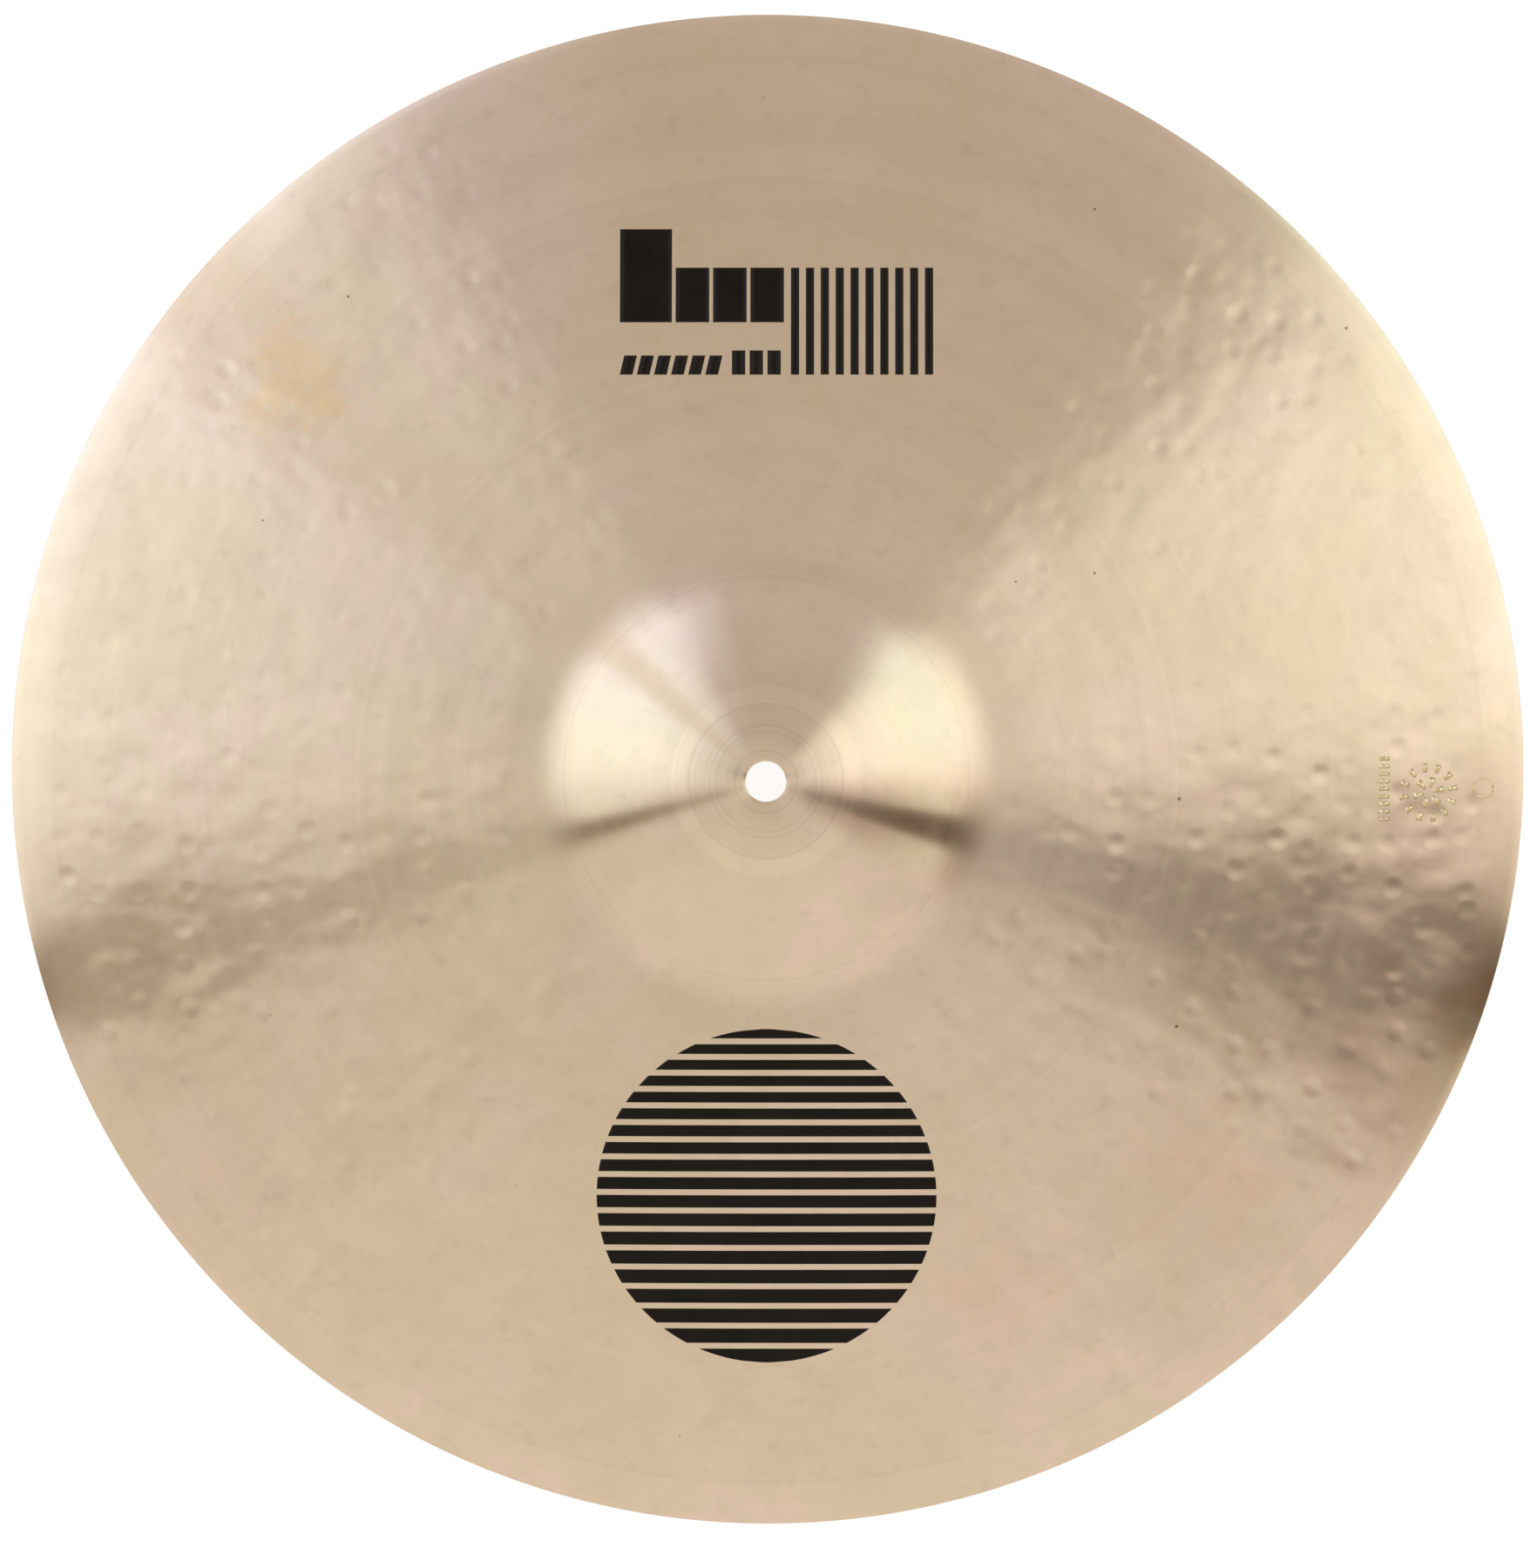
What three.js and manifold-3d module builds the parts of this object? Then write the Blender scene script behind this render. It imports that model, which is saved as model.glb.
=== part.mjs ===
// A 19 inch crash cymbal: one turned and hammered bronze plate, with the marks that are screen-printed on its
// top face. Millimetres, +Z up along the cymbal's axis. The origin is on the axis at the level of the rim's
// underside, so the cymbal lies on z = 0 with its bell up. +Y points from the centre to the label.
import * as THREE from "three";
import { mergeVertices } from "three/addons/utils/BufferGeometryUtils.js";
import Module from "manifold-3d";

const wasm = await Module();
wasm.setup();
const { mapLinear } = THREE.MathUtils;

// ---- Driving dimensions ----
const RIM_RADIUS = 482.6 / 2;
const HOLE_RADIUS = 12.7 / 2;
const CROWN_RADIUS = 11.5; // flat seat around the hole, above and below
const BELL_RADIUS = 64; // where the dome would meet the bow if no fillet joined them
const BELL_RISE = 20;
const BELL_FILLET = 36;
const BOW_RISE = 24.5; // from the rim to where the dome would meet it
const EDGE_BAND = 13; // the last stretch of the top, turned thinner
const EDGE_DROP = 0.8;
const BELL_THICKNESS = 1.25;
const BOW_THICKNESS = 1.05;
const RIM_THICKNESS = 0.8;
const RIM_LAND = 0.7; // width of the rim's flat underside
const EDGE_BREAK = 0.15; // small bevel on the rim and the hole
const SEGMENTS = 60; // around the axis
const FILM = 0.06; // printed ink
const FILM_GAP = 0.02; // keeps the ink's solids clear of the bronze

// ---- Profile of the plate ----
// The arc, centred on the axis, through (r1, z1) and (r2, z2), where r1 < r2 and z1 > z2.
function arcOnAxis(r1, z1, r2, z2) {
  const drop = z1 - z2;
  const rise = (drop + (r2 * r2 - r1 * r1) / drop) / 2;
  const radius = Math.hypot(rise, r1);
  return { radius, centre: z1 - rise, at: (r) => z1 - rise + Math.sqrt(radius * radius - r * r) };
}

const bow = arcOnAxis(BELL_RADIUS, BOW_RISE, RIM_RADIUS, 0);
const dome = arcOnAxis(CROWN_RADIUS, BOW_RISE + BELL_RISE, BELL_RADIUS, BOW_RISE);

// The hollow fillet that is tangent to the dome and to the bow.
const fillet = (() => {
  const toDome = dome.radius + BELL_FILLET;
  const toBow = bow.radius + BELL_FILLET;
  const z = (toDome ** 2 - toBow ** 2 + bow.centre ** 2 - dome.centre ** 2) / 2 / (bow.centre - dome.centre);
  const r = Math.sqrt(toDome ** 2 - (z - dome.centre) ** 2);
  return {
    start: (r * dome.radius) / toDome,
    end: (r * bow.radius) / toBow,
    at: (x) => z - Math.sqrt(BELL_FILLET ** 2 - (x - r) ** 2),
  };
})();

const edgeStart = RIM_RADIUS - EDGE_BAND;

function bareTop(r) {
  if (r <= CROWN_RADIUS) return dome.at(CROWN_RADIUS);
  if (r < fillet.start) return dome.at(r);
  if (r < fillet.end) return fillet.at(r);
  return bow.at(r) - EDGE_DROP * Math.max(0, (r - edgeStart) / EDGE_BAND) ** 2;
}

function thickness(r) {
  if (r <= CROWN_RADIUS) return BELL_THICKNESS;
  if (r < fillet.end) return mapLinear(r, CROWN_RADIUS, fillet.end, BELL_THICKNESS, BOW_THICKNESS);
  return mapLinear(r, fillet.end, RIM_RADIUS, BOW_THICKNESS, RIM_THICKNESS);
}

function bareUnderside(r) {
  const step = 0.05;
  const slope = r <= CROWN_RADIUS ? 0 : (bareTop(r + step) - bareTop(r - step)) / (2 * step);
  return bareTop(r) - thickness(r) * Math.hypot(1, slope);
}

// Everything stands on the rim's flat underside.
const landRadius = RIM_RADIUS - EDGE_BREAK - RIM_LAND;
const lift = -bareUnderside(landRadius);
const top = (r) => bareTop(r) + lift;
const underside = (r) => bareUnderside(r) + lift;

// count + 1 radii from a to b.
const spread = (a, b, count) => Array.from({ length: count + 1 }, (_, i) => a + ((b - a) * i) / count);

const domeRadii = spread(CROWN_RADIUS, fillet.start, 6);
const filletRadii = spread(fillet.start, fillet.end, 4).slice(1);
const bowRadii = spread(fillet.end, edgeStart, 6).slice(1);
const edgeMiddle = RIM_RADIUS - EDGE_BAND / 2;
const topRadii = [HOLE_RADIUS + EDGE_BREAK, ...domeRadii, ...filletRadii, ...bowRadii, edgeMiddle];
const undersideRadii = [...topRadii, landRadius];

function plateProfile() {
  const outer = [
    [RIM_RADIUS - EDGE_BREAK, top(RIM_RADIUS - EDGE_BREAK)],
    [RIM_RADIUS, top(RIM_RADIUS) - EDGE_BREAK],
    [RIM_RADIUS, EDGE_BREAK],
    [RIM_RADIUS - EDGE_BREAK, 0],
  ];
  const hole = [
    [HOLE_RADIUS, underside(HOLE_RADIUS) + EDGE_BREAK],
    [HOLE_RADIUS, top(HOLE_RADIUS) - EDGE_BREAK],
  ];
  const above = topRadii.map((r) => [r, top(r)]);
  const below = undersideRadii.map((r) => [r, underside(r)]);
  return [...above, ...outer, ...below.reverse(), ...hole];
}

// A closed profile of [r, z] points, clockwise, turned about the Z axis.
function turned(profile) {
  const points = [...profile, profile[0]].map(([r, z]) => new THREE.Vector2(r, z));
  return new THREE.LatheGeometry(points.reverse(), SEGMENTS).rotateX(Math.PI / 2);
}

// ---- Booleans ----
function toSolid(geometry) {
  const bare = new THREE.BufferGeometry().setAttribute("position", geometry.getAttribute("position"));
  if (geometry.index) bare.setIndex(geometry.index);
  const merged = mergeVertices(bare, 1e-4);
  const mesh = { numProp: 3, vertProperties: merged.attributes.position.array, triVerts: merged.index.array };
  return new wasm.Manifold(new wasm.Mesh(mesh));
}

function toGeometry(solid) {
  const mesh = solid.getMesh();
  return new THREE.BufferGeometry()
    .setAttribute("position", new THREE.BufferAttribute(mesh.vertProperties, 3))
    .setIndex(new THREE.BufferAttribute(mesh.triVerts, 1));
}

// ---- Printed marks ----
const INK_INNER = fillet.end; // the print lies on the bow only
const inkRadii = [INK_INNER, ...bowRadii];
const inkLayer = toSolid(
  turned([
    ...inkRadii.map((r) => [r, top(r) + FILM_GAP + FILM]),
    ...inkRadii.map((r) => [r, top(r) + FILM_GAP]).reverse(),
  ]),
);

// A patch of ink with the plan outline `shape`, lying on the bow.
function inkPatch(shape) {
  const column = new THREE.ExtrudeGeometry(shape, { depth: 100, bevelEnabled: false, curveSegments: 3 });
  return toGeometry(inkLayer.intersect(toSolid(column)));
}

const rectangle = (left, bottom, width, height, lean = 0) =>
  new THREE.Shape([
    new THREE.Vector2(left, bottom),
    new THREE.Vector2(left + width, bottom),
    new THREE.Vector2(left + width + lean, bottom + height),
    new THREE.Vector2(left + lean, bottom + height),
  ]);

// The roundel below the bell: a disc cut into level bars, which grow taller towards the rim.
const ROUNDEL = { y: -133.6, radius: 54, bars: 19, gap: 1.9, firstBar: 3, growth: 0.1 };

function roundelBar(index) {
  const { y, radius, gap, firstBar, growth } = ROUNDEL;
  const pitch = (i) => firstBar + gap + growth * i;
  let upper = radius;
  for (let i = 0; i < index; i++) upper -= pitch(i);
  const lower = Math.max(upper - pitch(index) + gap, -radius);
  const from = Math.asin(lower / radius);
  const to = Math.asin(upper / radius);
  return new THREE.Shape()
    .absarc(0, y, radius, from, to, false)
    .absarc(0, y, radius, Math.PI - to, Math.PI - from, false);
}

// The label above the bell: plain bars and blocks in the place of lettering.
const LABEL = { left: -46.3, right: 52.6, bottom: 127.2, top: 173.1, line: 143.7, shoulder: 160.9 };
const BLOCKS = { first: 16.4, others: 3, width: 10.6, gap: 1.2 };
const STROKES = { count: 10, width: 2.6, left: 7.7 };
const DASHES = { count: 6, width: 4, height: 6, lean: 1.4, pitch: 5.4 };
const TICKS = { count: 3, width: 4.2, height: 7.6, pitch: 5.6, left: -10.9 };

function labelShapes() {
  const { left, right, bottom, line, shoulder } = LABEL;
  const shapes = [["label_block_1", rectangle(left, line, BLOCKS.first, LABEL.top - line)]];
  for (let i = 0; i < BLOCKS.others; i++) {
    const x = left + BLOCKS.first + BLOCKS.gap + i * (BLOCKS.width + BLOCKS.gap);
    shapes.push([`label_block_${i + 2}`, rectangle(x, line, BLOCKS.width, shoulder - line)]);
  }
  const strokePitch = (right - STROKES.left - STROKES.width) / (STROKES.count - 1);
  for (let i = 0; i < STROKES.count; i++) {
    const x = STROKES.left + i * strokePitch;
    const name = `label_stroke_${String(i + 1).padStart(2, "0")}`;
    shapes.push([name, rectangle(x, bottom, STROKES.width, shoulder - bottom)]);
  }
  for (let i = 0; i < DASHES.count; i++) {
    const x = left + i * DASHES.pitch;
    shapes.push([`label_dash_${i + 1}`, rectangle(x, bottom, DASHES.width, DASHES.height, DASHES.lean)]);
  }
  for (let i = 0; i < TICKS.count; i++) {
    const x = TICKS.left + i * TICKS.pitch;
    shapes.push([`label_tick_${i + 1}`, rectangle(x, bottom, TICKS.width, TICKS.height)]);
  }
  return shapes;
}

// ---- Assembly ----
const bronze = new THREE.MeshStandardMaterial({ color: 0xcbb08a, roughness: 0.42, metalness: 1 });
const ink = new THREE.MeshStandardMaterial({ color: 0x1b1510, roughness: 0.35, metalness: 0 });

const cymbal = new THREE.Group();

function addPart(name, geometry, material) {
  const mesh = new THREE.Mesh(geometry, material);
  mesh.name = name;
  cymbal.add(mesh);
}

addPart("cymbal_plate", turned(plateProfile()), bronze);
for (let i = 0; i < ROUNDEL.bars; i++) {
  addPart(`roundel_bar_${String(i + 1).padStart(2, "0")}`, inkPatch(roundelBar(i)), ink);
}
for (const [name, shape] of labelShapes()) addPart(name, inkPatch(shape), ink);

export default cymbal;
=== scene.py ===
"""A 19 inch crash cymbal lying bell up on a pale floor, under a studio light tent.

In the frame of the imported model: the axis is Z, the rim's underside is at z = 0 and +Y points to the label.
"""

import math

import bpy
import numpy as np
from mathutils import Matrix, Vector


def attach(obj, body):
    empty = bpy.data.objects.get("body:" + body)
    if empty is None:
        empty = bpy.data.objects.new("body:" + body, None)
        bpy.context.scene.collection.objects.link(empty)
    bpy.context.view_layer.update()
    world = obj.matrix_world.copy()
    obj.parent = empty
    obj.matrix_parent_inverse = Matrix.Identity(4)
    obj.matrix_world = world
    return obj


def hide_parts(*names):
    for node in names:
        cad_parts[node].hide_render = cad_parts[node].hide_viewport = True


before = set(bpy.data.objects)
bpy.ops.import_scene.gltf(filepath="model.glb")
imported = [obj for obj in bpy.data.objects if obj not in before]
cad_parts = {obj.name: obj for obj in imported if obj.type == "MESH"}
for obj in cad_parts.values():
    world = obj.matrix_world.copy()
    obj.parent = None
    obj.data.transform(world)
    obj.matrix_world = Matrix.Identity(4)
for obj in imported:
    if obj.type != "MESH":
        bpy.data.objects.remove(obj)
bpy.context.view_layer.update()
scene = bpy.context.scene

# ---- The plate's dimensions, as in the CAD, in millimetres ----
RIM_RADIUS = 482.6 / 2
HOLE_RADIUS = 12.7 / 2
CROWN_RADIUS = 11.5
BELL_RADIUS = 64
BELL_RISE = 20
BELL_FILLET = 36
BOW_RISE = 24.5
EDGE_BAND = 13
EDGE_DROP = 0.8
BELL_THICKNESS = 1.25
BOW_THICKNESS = 1.05
RIM_THICKNESS = 0.8
RIM_LAND = 0.7
EDGE_BREAK = 0.15

MM = 0.001
# Columns and rings of the bronze mesh
AROUND = 600
CROWN_RINGS = 5
BELL_RINGS = 22
FILLET_RINGS = 11
BOW_RINGS = 66


# ---- Shape of the turned plate ----
def arc_on_axis(r1, z1, r2, z2):
    """(radius, centre height) of the arc, centred on the axis, through two points of the profile."""
    drop = z1 - z2
    rise = (drop + (r2 * r2 - r1 * r1) / drop) / 2
    return math.hypot(rise, r1), z1 - rise


bow_arc, bow_centre = arc_on_axis(BELL_RADIUS, BOW_RISE, RIM_RADIUS, 0)
dome_arc, dome_centre = arc_on_axis(CROWN_RADIUS, BOW_RISE + BELL_RISE, BELL_RADIUS, BOW_RISE)
to_dome = dome_arc + BELL_FILLET
to_bow = bow_arc + BELL_FILLET
fillet_z = (to_dome**2 - to_bow**2 + bow_centre**2 - dome_centre**2) / 2 / (bow_centre - dome_centre)
fillet_r = math.sqrt(to_dome**2 - (fillet_z - dome_centre) ** 2)
fillet_start = fillet_r * dome_arc / to_dome
fillet_end = fillet_r * bow_arc / to_bow


def bare_top(r):
    r = np.asarray(r, float)
    dome = dome_centre + np.sqrt(dome_arc**2 - np.clip(r, CROWN_RADIUS, dome_arc) ** 2)
    fillet = fillet_z - np.sqrt(np.maximum(BELL_FILLET**2 - (r - fillet_r) ** 2, 0))
    edge = np.maximum(0, (r - RIM_RADIUS + EDGE_BAND) / EDGE_BAND)
    bow = bow_centre + np.sqrt(bow_arc**2 - r**2) - EDGE_DROP * edge**2
    return np.where(r < fillet_start, dome, np.where(r < fillet_end, fillet, bow))


def bare_underside(r):
    r = np.asarray(r, float)
    bell = np.interp(r, [CROWN_RADIUS, fillet_end], [BELL_THICKNESS, BOW_THICKNESS])
    bow = np.interp(r, [fillet_end, RIM_RADIUS], [BOW_THICKNESS, RIM_THICKNESS])
    slope = np.where(r <= CROWN_RADIUS, 0, (bare_top(r + 0.05) - bare_top(r - 0.05)) / 0.1)
    return bare_top(r) - np.where(r < fillet_end, bell, bow) * np.hypot(1, slope)


land_radius = RIM_RADIUS - EDGE_BREAK - RIM_LAND
lift = -float(bare_underside(land_radius))

# ---- Hammering ----
rng = np.random.default_rng(19)


def plane_waves(count, shortest, longest, steepness):
    """Random ripples: directions, wavelengths, phases and heights, in millimetres."""
    turn = rng.uniform(0, 2 * np.pi, count)
    length = np.exp(rng.uniform(np.log(shortest), np.log(longest), count))
    k = 2 * np.pi / length
    height = steepness / k * math.sqrt(2 / count)
    return k * np.cos(turn), k * np.sin(turn), rng.uniform(0, 2 * np.pi, count), height


WARP = plane_waves(24, 60, 150, 0.005)  # the plate is never quite true
RIPPLE = plane_waves(60, 20, 45, 0.007)  # overlapping hammer blows
BLOW_RINGS = np.arange(80, 228, 11.5)
BLOW_PITCH = 13  # round each ring
BLOW_STRAY = 2.5  # off the ring


def blow_places():
    """Hammer blows on rings round the axis, each a little out of place."""
    places = []
    for r in BLOW_RINGS:
        count = int(2 * np.pi * r / BLOW_PITCH)
        turn = 2 * np.pi * (np.arange(count) + rng.uniform(-0.35, 0.35, count)) / count + rng.uniform(0, 6)
        x = (r + rng.normal(0, BLOW_STRAY, count)) * np.cos(turn)
        y = (r + rng.normal(0, BLOW_STRAY, count)) * np.sin(turn)
        places.append(np.stack([x, y], -1))
    return np.concatenate(places)


BLOWS = blow_places()
BLOW_DEPTH = rng.uniform(0.0, 0.09, len(BLOWS))
BLOW_WIDTH = rng.uniform(1.9, 2.8, len(BLOWS))  # round the axis
BLOW_LENGTH = rng.uniform(2.4, 3.8, len(BLOWS))  # along the radius


def ease(x, low, high):
    t = np.clip((x - low) / (high - low), 0, 1)
    return t * t * (3 - 2 * t)


def hammering(x, y):
    """How far the plate's surface is out of true at (x, y), in millimetres."""
    shape = np.shape(x)
    x, y = np.ravel(x), np.ravel(y)
    r = np.hypot(x, y)
    height = np.zeros_like(x)
    for waves in (WARP, RIPPLE):
        for kx, ky, phase, amount in zip(*waves):
            height += amount * np.cos(kx * x + ky * y + phase)
    for (bx, by), depth, width, length in zip(BLOWS, BLOW_DEPTH, BLOW_WIDTH, BLOW_LENGTH):
        near = np.flatnonzero((np.abs(x - bx) < 3 * length) & (np.abs(y - by) < 3 * length))
        dx, dy = x[near] - bx, y[near] - by
        outward = (dx * bx + dy * by) / math.hypot(bx, by)
        sideways = (dy * bx - dx * by) / math.hypot(bx, by)
        height[near] -= depth * np.exp(-(outward**2) / (2 * length**2) - sideways**2 / (2 * width**2))
    height *= ease(r, fillet_end - 4, fillet_end + 14) * (1 - ease(r, RIM_RADIUS - 16, RIM_RADIUS - 2))
    return height.reshape(shape)


# ---- Mesh helpers ----
def new_object(name, verts, faces, material, smooth=True):
    mesh = bpy.data.meshes.new(name)
    mesh.from_pydata((np.asarray(verts) * MM).tolist(), [], faces)
    mesh.update()
    if smooth:
        mesh.shade_smooth()
    mesh.materials.append(material)
    obj = bpy.data.objects.new(name, mesh)
    scene.collection.objects.link(obj)
    return obj


# ---- Node helpers ----
class Nodes:
    """Short names for building a node tree."""

    def __init__(self, tree):
        self.tree = tree
        tree.nodes.clear()

    def add(self, kind, inputs=(), **settings):
        node = self.tree.nodes.new("ShaderNode" + kind)
        for key, value in settings.items():
            setattr(node, key, value)
        for key, value in dict(inputs).items():
            socket = node.inputs[key]
            if isinstance(value, bpy.types.NodeSocket):
                self.tree.links.new(value, socket)
            else:
                socket.default_value = value
        return node

    def math(self, operation, *values):
        return self.add("Math", dict(enumerate(values)), operation=operation).outputs[0]

    def ramp(self, value, low, high, to_low=0.0, to_high=1.0):
        """value from low..high eased to to_low..to_high."""
        inputs = {"Value": value, "From Min": low, "From Max": high, "To Min": to_low, "To Max": to_high}
        return self.add("MapRange", inputs, interpolation_type="SMOOTHSTEP").outputs[0]

    def mix(self, factor, a, b, blend="MIX"):
        node = self.add("Mix", data_type="RGBA", blend_type=blend)
        for socket, value in ((node.inputs[0], factor), (node.inputs[6], a), (node.inputs[7], b)):
            if isinstance(value, bpy.types.NodeSocket):
                self.tree.links.new(value, socket)
            else:
                socket.default_value = value
        return node.outputs[2]

    def noise(self, vector, scale, detail=2.0, roughness=0.5, dimensions="3D"):
        values = {"Scale": scale, "Detail": detail, "Roughness": roughness}
        values.update({"W": vector} if dimensions == "1D" else {"Vector": vector})
        return self.add("TexNoise", values, noise_dimensions=dimensions).outputs["Fac"]


def rgb(r, g, b):
    return (r, g, b, 1.0)


def new_material(name):
    material = bpy.data.materials.new(name)
    material.use_nodes = True
    return material, Nodes(material.node_tree)


# ---- Bronze ----
# Stains in the lacquer: x, y and radius in metres, then the tint that the bronze is multiplied by.
STAINS = [
    (-0.148, 0.1245, 0.024, rgb(1.0, 0.95, 0.80)),
    (0.139, -0.128, 0.030, rgb(1.0, 0.95, 0.93)),
    (0.228, -0.073, 0.020, rgb(0.97, 0.88, 0.83)),
    (0.075, -0.164, 0.026, rgb(1.0, 0.95, 0.94)),
]
# Lathe marks, and round the crown a lathed band whose lighter tone is a painted highlight: radius of the
# middle, half width and softness in metres, then the tone, 1 for none.
LATHE_MARKS_AND_PAINTED_SHEEN = [
    (0.0098, 0.0002, 0.0004, 0.93),
    (0.0157, 0.0002, 0.0005, 0.95),
    (0.0177, 0.0002, 0.0004, 0.94),
    (0.0243, 0.0002, 0.0003, 0.93),
    # a lathed band round the crown, made lighter in colour all round: a painted highlight
    (0.0271, 0.0027, 0.0004, 1.06),
    (0.0640, 0.0002, 0.0005, 0.97),
    (0.2279, 0.0003, 0.0007, 0.975),
    (0.2345, 0.0064, 0.0008, 1.02),
]


def specks(n, place, radius, mottle):
    """1 on a few small ragged specks of tarnish on the bow, 0 elsewhere."""
    cells = n.add("TexVoronoi", {"Vector": place, "Scale": 38.0}, voronoi_dimensions="2D", feature="F1")
    chosen = n.add("SeparateXYZ", {0: cells.outputs["Color"]}).outputs
    size = n.math("MULTIPLY", n.ramp(chosen[1], 0.0, 1.0, 0.010, 0.022), n.ramp(mottle, 0.3, 0.7, 0.3, 1.7))
    inside = n.math("LESS_THAN", cells.outputs["Distance"], size)
    inside = n.math("MULTIPLY", inside, n.math("GREATER_THAN", chosen[0], 0.93))
    return n.math("MULTIPLY", inside, n.math("GREATER_THAN", radius, 0.08))


def bronze_colour(n, place, radius):
    fine_rings = n.noise(radius, 380, 2, 0.6, "1D")
    broad_rings = n.noise(radius, 70, 3, 0.6, "1D")
    clouds = n.noise(place, 14, 4, 0.6)
    mottle = n.noise(place, 70, 4, 0.65)
    smudges = n.noise(place, 150, 3, 0.6)

    colour = n.mix(n.ramp(clouds, 0.35, 0.65), rgb(0.820, 0.655, 0.452), rgb(0.875, 0.675, 0.512))
    colour = n.mix(n.ramp(mottle, 0.35, 0.75, 0.0, 0.6), colour, rgb(0.79, 0.63, 0.447))
    colour = n.mix(n.ramp(smudges, 0.54, 0.80, 0.0, 0.25), colour, rgb(0.62, 0.47, 0.31))
    tarnish = n.math("MULTIPLY", specks(n, place, radius, mottle), 0.75)
    colour = n.mix(tarnish, colour, rgb(0.20, 0.12, 0.06))
    for x, y, size, tint in STAINS:
        away = n.add("VectorMath", {0: place, 1: (x, y, 0.0)}, operation="SUBTRACT").outputs[0]
        away = n.add("VectorMath", {0: away, 1: (1, 1, 0)}, operation="MULTIPLY").outputs[0]
        distance = n.add("VectorMath", {0: away}, operation="LENGTH").outputs["Value"]
        ragged = n.math("ADD", distance, n.ramp(mottle, 0.25, 0.75, -0.5 * size, 0.5 * size))
        stained = n.mix(1.0, colour, tint, "MULTIPLY")
        colour = n.mix(n.ramp(ragged, 0.2 * size, size, 1.0, 0.0), colour, stained)

    fine_tone = n.ramp(fine_rings, 0.3, 0.7, -0.006, 0.006)
    tone = n.math("ADD", fine_tone, n.ramp(broad_rings, 0.3, 0.7, 0.98, 1.01))
    for middle, half, soft, strength in LATHE_MARKS_AND_PAINTED_SHEEN:
        away = n.math("ABSOLUTE", n.math("SUBTRACT", radius, middle))
        tone = n.math("MULTIPLY", tone, n.ramp(away, half, half + soft, strength, 1.0))
    grey = n.add("CombineXYZ", {0: tone, 1: tone, 2: tone}).outputs[0]
    return n.mix(1.0, colour, grey, "MULTIPLY")


def bronze_roughness(n, place, radius):
    broad_rings = n.noise(radius, 70, 3, 0.6, "1D")
    mottle = n.noise(place, 70, 4, 0.65)
    by_ring = n.ramp(broad_rings, 0.3, 0.7, 0.245, 0.262)
    return n.math("ADD", by_ring, n.ramp(mottle, 0.3, 0.7, -0.008, 0.008))


def hammered_bump(n, place, radius):
    """Relief in millimetres, too fine for the mesh: shallow dents, unevenness and the lathe's grooves."""
    cells = n.add(
        "TexVoronoi",
        {"Vector": place, "Scale": 78.0, "Randomness": 0.7},
        voronoi_dimensions="2D",
        feature="F1",
    )
    depth = n.math("MULTIPLY", n.add("SeparateXYZ", {0: cells.outputs["Color"]}).outputs[0], 0.07)
    dents = n.math("MULTIPLY", n.ramp(cells.outputs["Distance"], 0.0, 0.32, -1.0, 0.0), depth)
    uneven = n.math("MULTIPLY", n.noise(place, 62, 1, 0.5), 0.12)
    blotches = n.math("MULTIPLY", n.noise(place, 125, 1, 0.5), 0.05)
    height = n.math("ADD", dents, n.math("ADD", uneven, blotches))
    hammered = n.math("MULTIPLY", n.ramp(radius, 0.074, 0.088), n.ramp(radius, 0.238, 0.224))
    groove_depth = n.ramp(radius, 0.02, 0.08, 0.05, 0.006)
    grooves = n.math("MULTIPLY", n.noise(radius, 300, 2, 0.6, "1D"), groove_depth)
    height = n.math("ADD", n.math("MULTIPLY", height, hammered), grooves)
    return n.add("Bump", {"Strength": 1.0, "Distance": MM, "Height": height})


def bronze_material():
    material, n = new_material("turned_bronze")
    place = n.add("TexCoord").outputs["Object"]
    flat = n.add("VectorMath", {0: place, 1: (1, 1, 0)}, operation="MULTIPLY").outputs[0]
    radius = n.add("VectorMath", {0: flat}, operation="LENGTH").outputs["Value"]
    tangent = n.add("Tangent", direction_type="RADIAL", axis="Z")
    inputs = {
        "Base Color": bronze_colour(n, place, radius),
        "Metallic": 1.0,
        "Roughness": bronze_roughness(n, place, radius),
        "Anisotropic": 1.0,
        "Anisotropic Rotation": 0.25,
        "Normal": hammered_bump(n, place, radius).outputs[0],
        "Tangent": tangent.outputs[0],
    }
    n.add("OutputMaterial", {0: n.add("BsdfPrincipled", inputs).outputs[0]})
    return material


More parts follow.
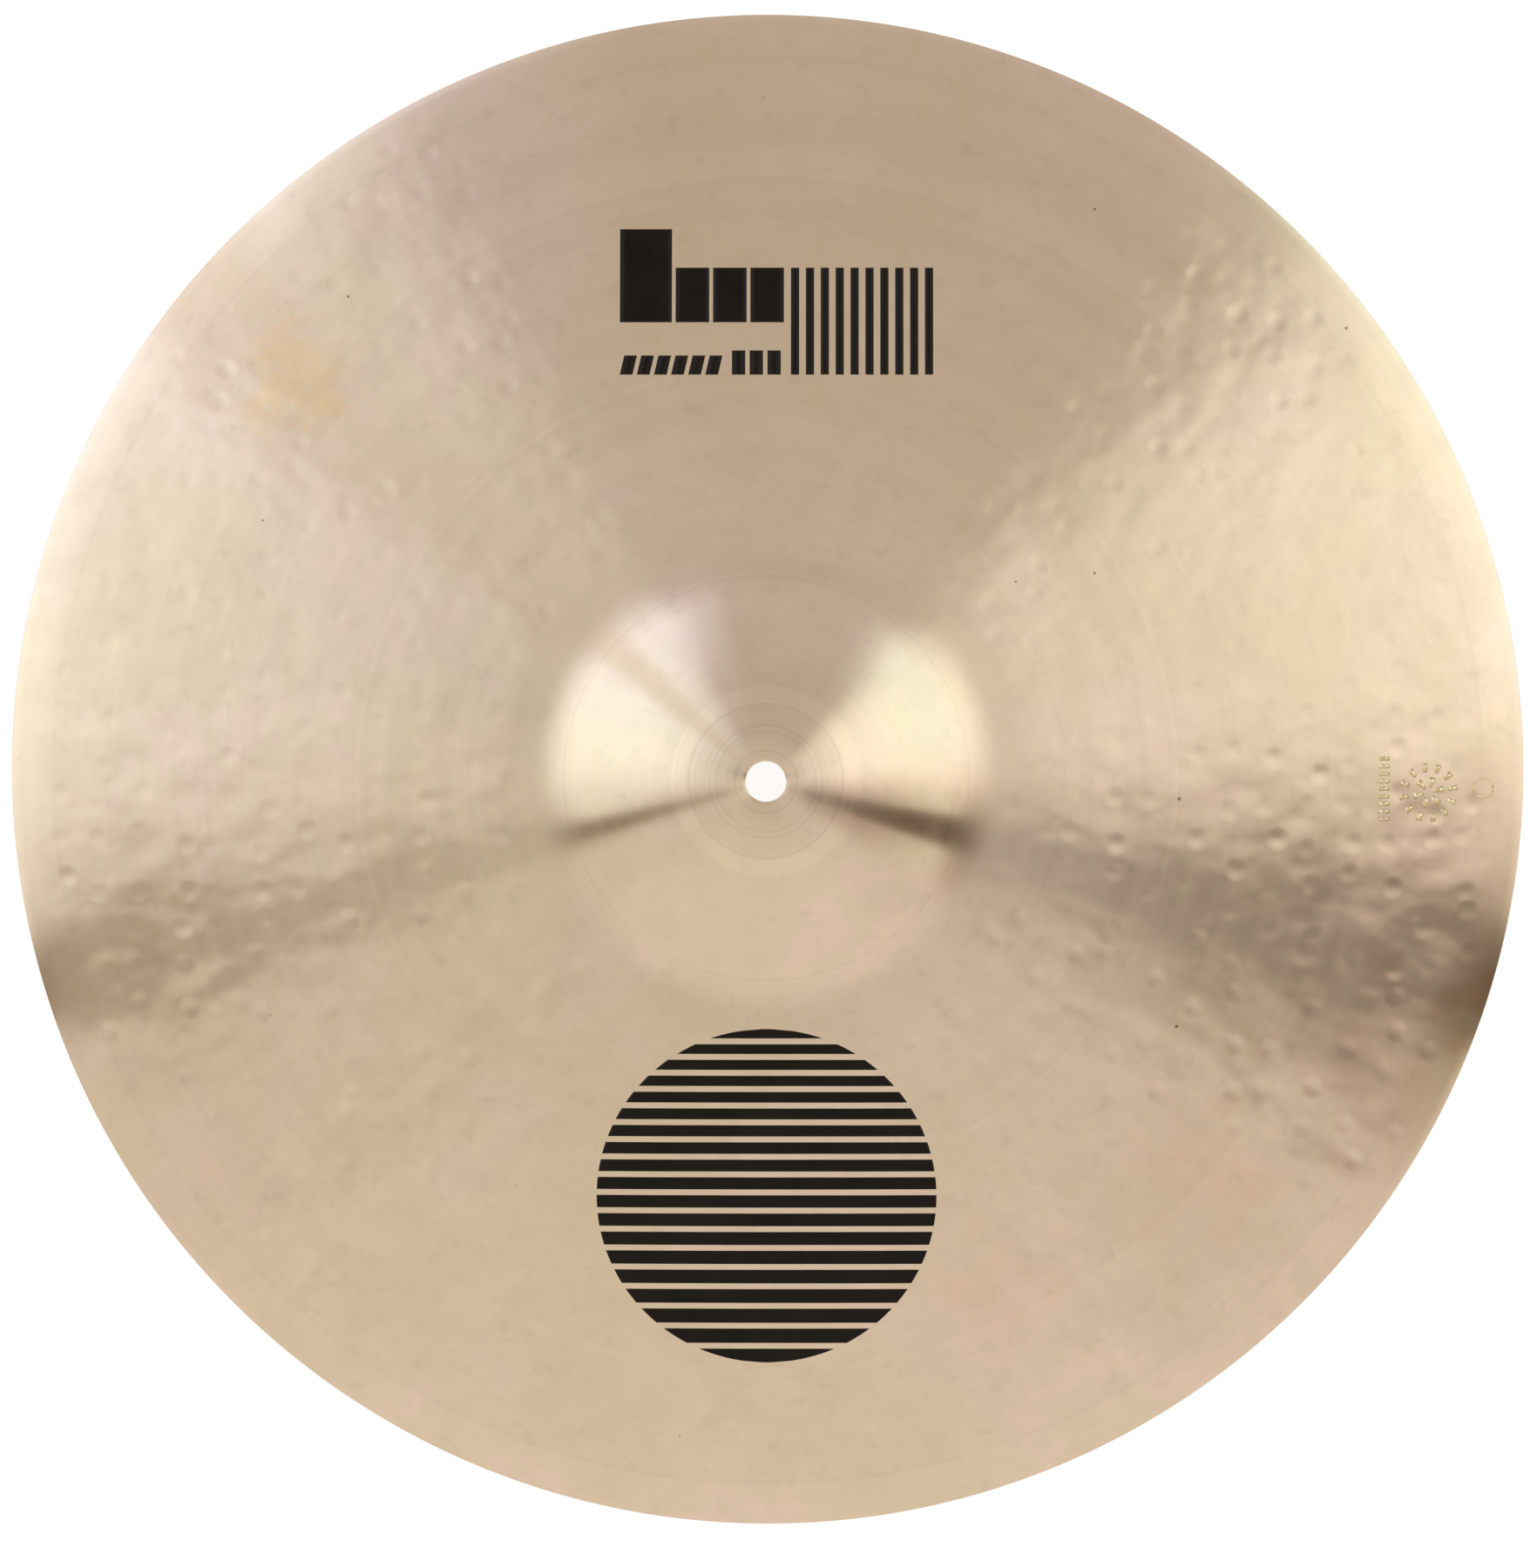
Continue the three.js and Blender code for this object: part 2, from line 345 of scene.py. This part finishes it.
def plate_rings():
    """The closed profile as (radius, height, share of the hammering), out on top and back underneath."""
    crown = np.linspace(HOLE_RADIUS + EDGE_BREAK, CROWN_RADIUS, CROWN_RINGS)[:-1]
    bell = np.linspace(CROWN_RADIUS, fillet_start, BELL_RINGS)
    fillet = np.linspace(fillet_start, fillet_end, FILLET_RINGS)[1:]
    bow = np.linspace(fillet_end, RIM_RADIUS - EDGE_BREAK - 0.1, BOW_RINGS)[1:]
    under_bow = np.linspace(fillet_end, land_radius, BOW_RINGS // 2 + 1)[1:]
    above = np.concatenate([crown, bell, fillet, bow])
    below = np.concatenate([crown, bell[::2], fillet[1::2], under_bow])
    rings = [(r, z, 1) for r, z in zip(above, bare_top(above) + lift)]
    top_corner = float(bare_top(RIM_RADIUS)) + lift
    rings += [
        (RIM_RADIUS - 0.09, top_corner - 0.01, 0),
        (RIM_RADIUS - 0.03, top_corner - 0.07, 0),
        (RIM_RADIUS, top_corner - EDGE_BREAK, 0),
        (RIM_RADIUS, EDGE_BREAK, 0),
        (RIM_RADIUS - 0.03, 0.06, 0),
        (RIM_RADIUS - 0.09, 0.01, 0),
        (RIM_RADIUS - EDGE_BREAK, 0, 0),
    ]
    rings += [(r, z, 1) for r, z in zip(below[::-1], (bare_underside(below) + lift)[::-1])]
    crown_top, crown_low = float(bare_top(0)) + lift, float(bare_underside(0)) + lift
    rings += [
        (HOLE_RADIUS + 0.04, crown_low + 0.04, 0),
        (HOLE_RADIUS, crown_low + EDGE_BREAK, 0),
        (HOLE_RADIUS, crown_top - EDGE_BREAK, 0),
        (HOLE_RADIUS + 0.04, crown_top - 0.04, 0),
    ]
    return np.array(rings)


def make_plate():
    rings = plate_rings()
    turn = 2 * np.pi * np.arange(AROUND) / AROUND
    x = rings[:, :1] * np.cos(turn)
    y = rings[:, :1] * np.sin(turn)
    z = rings[:, 1:2] + rings[:, 2:3] * hammering(x, y)
    verts = np.stack([x, y, z], -1).reshape(-1, 3)
    index = np.arange(len(verts)).reshape(len(rings), AROUND)
    following = np.roll(index, -1, axis=0)
    quads = np.stack([index, following, np.roll(following, -1, 1), np.roll(index, -1, 1)], -1)
    return new_object("bronze_plate", verts, quads.reshape(-1, 4).tolist(), bronze_material())


plate = make_plate()
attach(plate, "root")
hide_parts("cymbal_plate")


# ---- Printed marks ----
def ink_material():
    material, n = new_material("printing_ink")
    place = n.add("TexCoord").outputs["Object"]
    cloud = n.noise(place, 60, 3, 0.6)
    grain = n.noise(place, 900, 2, 0.6)
    colour = n.mix(n.ramp(cloud, 0.3, 0.7), rgb(0.0080, 0.0048, 0.0024), rgb(0.0120, 0.0075, 0.0040))
    roughness = n.ramp(cloud, 0.25, 0.75, 0.22, 0.36)
    bump = n.add("Bump", {"Strength": 0.5, "Distance": 0.00001, "Height": grain})
    inputs = {
        "Base Color": colour,
        "Roughness": roughness,
        "Specular IOR Level": 0.12,
        "Normal": bump.outputs[0],
    }
    n.add("OutputMaterial", {0: n.add("BsdfPrincipled", inputs).outputs[0]})
    return material


INK = ink_material()
INK_LOW = 0.025
INK_HIGH = 0.075


def film(x, y, low, high):
    """A closed film over the grid of points (x, y), from low to high millimetres above the bronze."""
    surface = bare_top(np.hypot(x, y)) + lift + hammering(x, y)
    layers = [np.stack([x, y, surface + h], -1).reshape(-1, 3) for h in (high, low)]
    index = np.arange(x.size).reshape(x.shape)
    quads = np.stack([index[:-1, :-1], index[:-1, 1:], index[1:, 1:], index[1:, :-1]], -1).reshape(-1, 4)
    faces = quads.tolist() + (quads[:, ::-1] + x.size).tolist()
    border = [*index[0, :-1], *index[:-1, -1], *index[-1, :0:-1], *index[:0:-1, 0]]
    for a, b in zip(border, border[1:] + border[:1]):
        faces.append([int(b), int(a), int(a) + x.size, int(b) + x.size])
    return np.concatenate(layers), faces


def crisp(piece):
    """Smooth shading on a film's faces and flat shading on its thin sides."""
    for polygon in piece.data.polygons:
        polygon.use_smooth = abs(polygon.normal.z) > 0.5


def ink_patch(node, low, high, left, right):
    """A film of ink between the levels y = low and high and the outlines x = left(y) and right(y)."""
    rows = np.linspace(low, high, max(3, int((high - low) / 0.5) + 1))
    widest = max(right(y) - left(y) for y in rows)
    across = np.linspace(0, 1, max(3, int(widest / 1.5) + 1))
    x = np.array([left(y) + (right(y) - left(y)) * across for y in rows])
    y = np.repeat(rows[:, None], len(across), 1)
    patch = new_object("ink_" + node, *film(x, y, INK_LOW, INK_HIGH), INK, smooth=False)
    crisp(patch)
    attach(patch, "root")
    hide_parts(node)


def roundel(centre=-133.6, radius=54.0, bars=19, gap=1.9, first=3.0, growth=0.1):
    upper = radius
    for i in range(bars):
        pitch = first + gap + growth * i
        lower = max(upper - pitch + gap, -radius + 0.02)
        half = lambda y: math.sqrt(max(radius**2 - (y - centre) ** 2, 0.01))
        ink_patch(f"roundel_bar_{i + 1:02d}", centre + lower, centre + upper - 0.02 * (i == 0),
                  lambda y: -half(y), half)
        upper -= pitch


def block(node, left, low, width, height, lean=0.0):
    side = lambda start: lambda y: start + lean * (y - low) / height
    ink_patch(node, low, low + height, side(left), side(left + width))


def label(left=-46.3, right=52.6, bottom=127.2, top=173.1, line=143.7, shoulder=160.9):
    block("label_block_1", left, line, 16.4, top - line)
    for i in range(3):
        block(f"label_block_{i + 2}", left + 17.6 + 11.8 * i, line, 10.6, shoulder - line)
    first_stroke, stroke_width = 7.7, 2.6
    pitch = (right - first_stroke - stroke_width) / 9
    for i in range(10):
        place = first_stroke + pitch * i
        block(f"label_stroke_{i + 1:02d}", place, bottom, stroke_width, shoulder - bottom)
    for i in range(6):
        block(f"label_dash_{i + 1}", left + 5.4 * i, bottom, 4, 6, lean=1.4)
    for i in range(3):
        block(f"label_tick_{i + 1}", -10.9 + 5.6 * i, bottom, 4.2, 7.6)


roundel()
label()


# ---- Pressed stamp: a plain rosette, a row of dashes and a small ring near the rim, with no lettering ----
def stamp_material():
    material, n = new_material("stamped_bronze")
    place = n.add("TexCoord").outputs["Object"]
    worn = n.noise(place, 420, 2, 0.6)
    colour = n.mix(n.ramp(worn, 0.3, 0.7), rgb(0.70, 0.50, 0.24), rgb(0.90, 0.72, 0.44))
    bump = n.add("Bump", {"Strength": 0.6, "Distance": 0.00004, "Height": n.noise(place, 700, 2, 0.6)})
    inputs = {"Base Color": colour, "Metallic": 1.0, "Roughness": n.ramp(worn, 0.3, 0.7, 0.42, 0.3)}
    inputs["Normal"] = bump.outputs[0]
    n.add("OutputMaterial", {0: n.add("BsdfPrincipled", inputs).outputs[0]})
    return material


def arc_strip(x, y, inner, outer, start, end):
    """Grid of points over part of a ring round (x, y), between two angles in degrees."""
    turn = np.radians(np.linspace(start, end, max(3, int(abs(end - start) / 15) + 1)))[:, None]
    radius = np.linspace(outer, inner, 3)[None, :]
    return x + radius * np.cos(turn), y + radius * np.sin(turn)


def stamp(dashes=(196.2, 5.4), rosette=(210.5, -5.5), ring=(228.2, -4.3)):
    """Pressed marks: a row of dashes from the first towards -Y, a rosette of petals and a small ring."""
    strips = []
    for i in range(9):
        across = dashes[0] + np.array([-1.6, 0.0, 1.6])
        strips.append(np.meshgrid(across, dashes[1] - 2.4 * i + np.array([-0.65, 0.0, 0.65])))
    for i in range(12):
        strips.append(arc_strip(*rosette, 6.6, 9.4, 30 * i + 4, 30 * i + 15))
    for i in range(6):
        strips.append(arc_strip(*rosette, 1.6, 5.0, 60 * i, 60 * i + 26))
    for i in range(5):
        strips.append(arc_strip(*ring, 2.9, 3.5, 72 * i, 72 * i + 58))
    verts, faces, count = [], [], 0
    for x, y in strips:
        points, quads = film(x, y, 0.01, 0.05)
        verts.append(points)
        faces += [[index + count for index in quad] for quad in quads]
        count += len(points)
    piece = new_object("pressed_stamp", np.concatenate(verts), faces, stamp_material(), smooth=False)
    crisp(piece)
    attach(piece, "root")


stamp()


# ---- Floor, light tent and camera ----
def make_floor():
    material, n = new_material("pale_floor")
    inputs = {
        "Base Color": rgb(0.2, 0.2, 0.2),
        "Roughness": 1.0,
        "Emission Color": rgb(1.0, 1.0, 1.0),
        "Emission Strength": 0.85,
    }
    n.add("OutputMaterial", {0: n.add("BsdfPrincipled", inputs).outputs[0]})
    side = 8000
    corners = [(-side, -side, 0), (side, -side, 0), (side, side, 0), (-side, side, 0)]
    new_object("floor", corners, [(0, 1, 2, 3)], material)


# The panels of the tent. Azimuth of a panel's middle, half its width and the softness of its sides, in
# degrees, where 0 is +X and 90 is +Y, behind the label. Then the angles from the zenith at which it is whole
# and at which it ends, and its light. A later panel hangs in front of an earlier one.
PANELS = [
    (276.8, 95, 14.1, 71.3, 16.5, rgb(1.13, 1.20, 1.05)),  # front wall
    (267.9, 49.3, 21.5, 21.6, 0, rgb(0.87, 0.85, 0.825)),  # front half of the ceiling
    (79.9, 30.8, 5.9, 38.2, 0, rgb(0.632, 0.61, 0.61)),  # back
    (19.2, 14.8, 15.5, 26.6, 7.3, rgb(1.50, 1.50, 1.48)),  # right softbox
    (155.1, 23.5, 24.1, 28.5, 20, rgb(1.485, 1.66, 1.82)),  # left softbox
    (133, 16.5, 18.1, 67.1, 15.6, rgb(1.40, 1.57, 2.00)),  # its cooler flank
    (28.3, 18.5, 10.6, 56, 27.7, rgb(1.33, 1.60, 1.65)),  # the right softbox's flank
    (137.8, 3.1, 4.4, 26, 25, rgb(1.10, 1.14, 1.22)),  # seam between the left panels
    (208, 8, 7, 26, 18, rgb(0.80, 0.78, 0.77)),  # low corners of the ceiling
    (320, 7, 7, 26, 18, rgb(0.82, 0.79, 0.77)),
    (344.6, 4.7, 0.8, 21.6, 0, rgb(0.06, 0.025, 0.0)),  # gaps between the softboxes and the front
    (196.5, 2.9, 1.8, 32, 7.3, rgb(0.193, 0.142, 0.073)),
]
TENT_LEAN = (0.0382, 0.0589, 0)
TENT_BACK = rgb(0.19, 0.03, 0.0)
TENT_TOP = rgb(0.605, 0.597, 0.567)
TENT_SKIRT = rgb(0.42, 0.40, 0.38)  # near the floor
BACKDROP = rgb(1.0, 1.0, 1.0)


def cosine(degrees):
    return math.cos(math.radians(degrees))


def make_tent():
    world = bpy.data.worlds.new("light_tent")
    scene.world = world
    world.use_nodes = True
    n = Nodes(world.node_tree)
    direction = n.add("TexCoord").outputs["Generated"]
    height = n.add("SeparateXYZ", {0: direction}).outputs[2]
    level = n.add("VectorMath", {0: direction, 1: TENT_LEAN}, operation="ADD").outputs[0]
    level = n.add("VectorMath", {0: level, 1: (1, 1, 0)}, operation="MULTIPLY").outputs[0]
    level = n.add("VectorMath", {0: level}, operation="NORMALIZE").outputs[0]
    light = n.mix(n.ramp(height, 0.85, 0.997), TENT_BACK, TENT_TOP)
    for azimuth, half, soft, whole, ends, colour in PANELS:
        a = math.radians(azimuth)
        towards = n.add("VectorMath", {0: level, 1: (math.cos(a), math.sin(a), 0)}, operation="DOT_PRODUCT")
        side = n.ramp(towards.outputs["Value"], cosine(half + soft), cosine(max(half - soft, 0)))
        below = n.ramp(height, cosine(whole), cosine(ends), 1.0, 0.0)
        light = n.mix(n.math("MULTIPLY", side, below), light, colour)
    light = n.mix(n.ramp(height, 0.0, 0.3), TENT_SKIRT, light)
    tent = n.add("Background", {0: light, 1: 1.0})
    plain = n.add("Background", {0: BACKDROP, 1: 1.0})
    seen = n.add("LightPath").outputs["Is Camera Ray"]
    shown = n.add("MixShader", {0: seen, 1: tent.outputs[0], 2: plain.outputs[0]})
    n.add("OutputWorld", {0: shown.outputs[0]})


def make_camera():
    data = bpy.data.cameras.new("camera")
    data.lens = 158.1
    data.clip_start, data.clip_end = 0.1, 50
    camera = bpy.data.objects.new("camera", data)
    scene.collection.objects.link(camera)
    aim = Vector((-0.00064, -0.0033, 0))
    camera.location = aim + Vector((0.0188, 0.1219, 2.1965))
    camera.rotation_mode = "QUATERNION"
    back = (camera.location - aim).normalized()
    right = Vector((0, 1, 0)).cross(back).normalized()
    camera.rotation_quaternion = Matrix((right, back.cross(right), back)).transposed().to_quaternion()
    scene.camera = camera


make_floor()
make_tent()
make_camera()
scene.view_settings.view_transform = "Standard"
